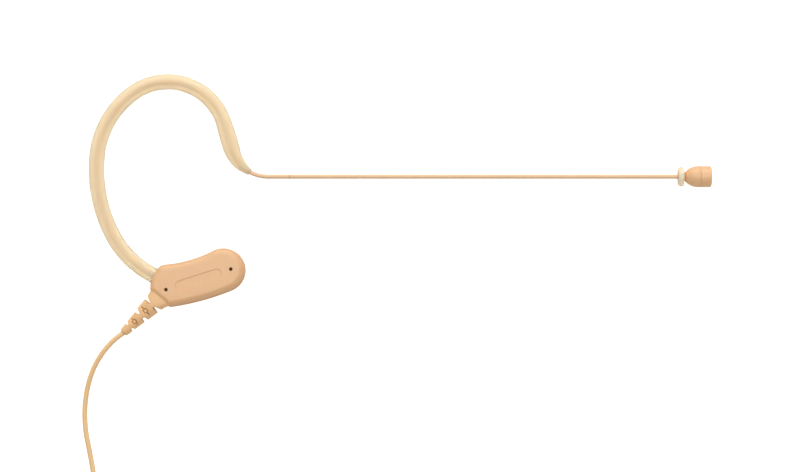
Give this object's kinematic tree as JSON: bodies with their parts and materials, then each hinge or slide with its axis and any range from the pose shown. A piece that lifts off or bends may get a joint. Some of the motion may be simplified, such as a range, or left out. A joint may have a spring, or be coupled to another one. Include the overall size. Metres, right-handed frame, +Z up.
{
  "type": "headset microphone",
  "caption": "Ear-worn headset microphone: formable boom with a small capsule, soft ear hook, splice housing, strain relief and a thin lead to a latching plug.",
  "frame": {"origin": "on the table it lies on, under the middle of the earset without its lead", "axes": "+X runs along the boom towards the mouth, +Y towards the top of the ear hook, +Z up from the table through the front face of the housing"},
  "size_m": [0.1767, 0.1431, 0.0102],
  "materials": {
    "housing_plastic": "fine satin moulded plastic, tan",
    "capsule_plastic": "satin moulded plastic, tan",
    "sleeve_silicone": "soft translucent silicone, pale straw",
    "ring_silicone": "soft translucent silicone, pale",
    "boom_coating": "smooth satin coating, tan",
    "relief_rubber": "satin moulded elastomer, tan",
    "cable_jacket": "satin jacket, tan",
    "core_wire": "bright wire and enamelled lead",
    "pin_dark": "dark oxidised steel",
    "board": "solder-masked laminate",
    "chip": "ceramic chip",
    "brass_small": "bright turned brass",
    "gold_contact": "gold plating",
    "steel_mesh": "fine woven steel mesh",
    "element_can": "drawn can",
    "gasket_rubber": "black rubber",
    "wire_insulation": "thin insulation",
    "tie_wrap": "black silicone tie",
    "plug_boot_rubber": "black moulded elastomer",
    "plug_metal": "satin nickel plating",
    "plug_cap_metal": "satin nickel plating, knurled",
    "plug_insulator": "black moulded insulator",
    "clamp_plastic": "natural nylon",
    "latch_steel": "bright nickel plating"
  },
  "bodies": {
    "housing": {"housing_rear": "housing_plastic", "housing_front": "housing_plastic", "housing_pins": "pin_dark", "splice_board": "board", "board_capacitors": "chip", "boom_anchor": "brass_small", "boom_leads": "wire_insulation", "cable_leads": "wire_insulation", "heel_boom_tube": "boom_coating", "heel_boom_core": "core_wire", "ear_sleeve_lower": "sleeve_silicone", "strain_relief": "relief_rubber", "lead_stub": "cable_jacket", "cable_crimp": "brass_small", "lead_cable": "cable_jacket", "lead_coil": "cable_jacket", "coil_tie": "tie_wrap", "lead_tail": "cable_jacket", "plug_boot": "plug_boot_rubber", "cable_clamp": "clamp_plastic", "plug_shell": "plug_metal", "contact_insert": "plug_insulator", "socket_contacts": "gold_contact", "plug_wires": "wire_insulation", "lead_plug_end": "cable_jacket", "latch_spring": "latch_steel"},
    "ear_hook": {"ear_sleeve_upper": "sleeve_silicone", "ear_sleeve_flex": "sleeve_silicone", "loop_boom_flex": "boom_coating", "loop_boom_tube": "boom_coating", "loop_boom_core": "core_wire"},
    "boom_root": {"boom_swing_bend": "boom_coating", "boom_lift_bend": "boom_coating"},
    "boom": {"boom_tube": "boom_coating", "boom_core": "core_wire", "boom_ferrule": "brass_small", "capsule_shell": "capsule_plastic", "element_board": "board", "electret_element": "element_can", "element_gasket": "gasket_rubber"},
    "cap": {"mic_cap": "capsule_plastic", "cap_mesh": "steel_mesh"},
    "ring": {"moisture_ring": "ring_silicone"},
    "latch": {"latch_button": "latch_steel"},
    "end_cap": {"plug_end_cap": "plug_cap_metal"}
  },
  "joints": [
    {"name": "loop_flex", "type": "hinge", "parent": "housing", "child": "ear_hook", "pos_m": [-0.0817, -0.0056, 0.00295], "axis": [0, 0, 1], "range_deg": [-8, 8], "stiffness_Nm_per_rad": 0.05, "deforming": ["ear_sleeve_flex", "loop_boom_flex"]},
    {"name": "boom_swing", "type": "hinge", "parent": "ear_hook", "child": "boom_root", "pos_m": [-0.0365, 0.0082, 0.00295], "axis": [0, 0, 1], "range_deg": [-20, 20], "deforming": ["boom_swing_bend"]},
    {"name": "boom_lift", "type": "hinge", "parent": "boom_root", "child": "boom", "pos_m": [-0.026, 0.00795, 0.00295], "axis": [0, -1, 0], "range_deg": [0, 25], "deforming": ["boom_lift_bend"]},
    {"name": "cap_pull", "type": "slide", "parent": "boom", "child": "cap", "axis": [1, 0, 0], "range_m": [0, 0.006]},
    {"name": "ring_slide", "type": "slide", "parent": "boom", "child": "ring", "axis": [-1, 0, 0], "range_m": [0, 0.03]},
    {"name": "latch_press", "type": "slide", "parent": "housing", "child": "latch", "axis": [0, 0, -1], "range_m": [0, 0.0007], "stiffness_N_per_m": 200, "springref_m": -0.0005, "deforming": ["latch_spring"]},
    {"name": "end_cap_turn", "type": "hinge", "parent": "housing", "child": "end_cap", "pos_m": [-0.024, -0.095, 0.0047], "axis": [-1, 0, 0], "range_deg": [0, 720]}
  ]
}
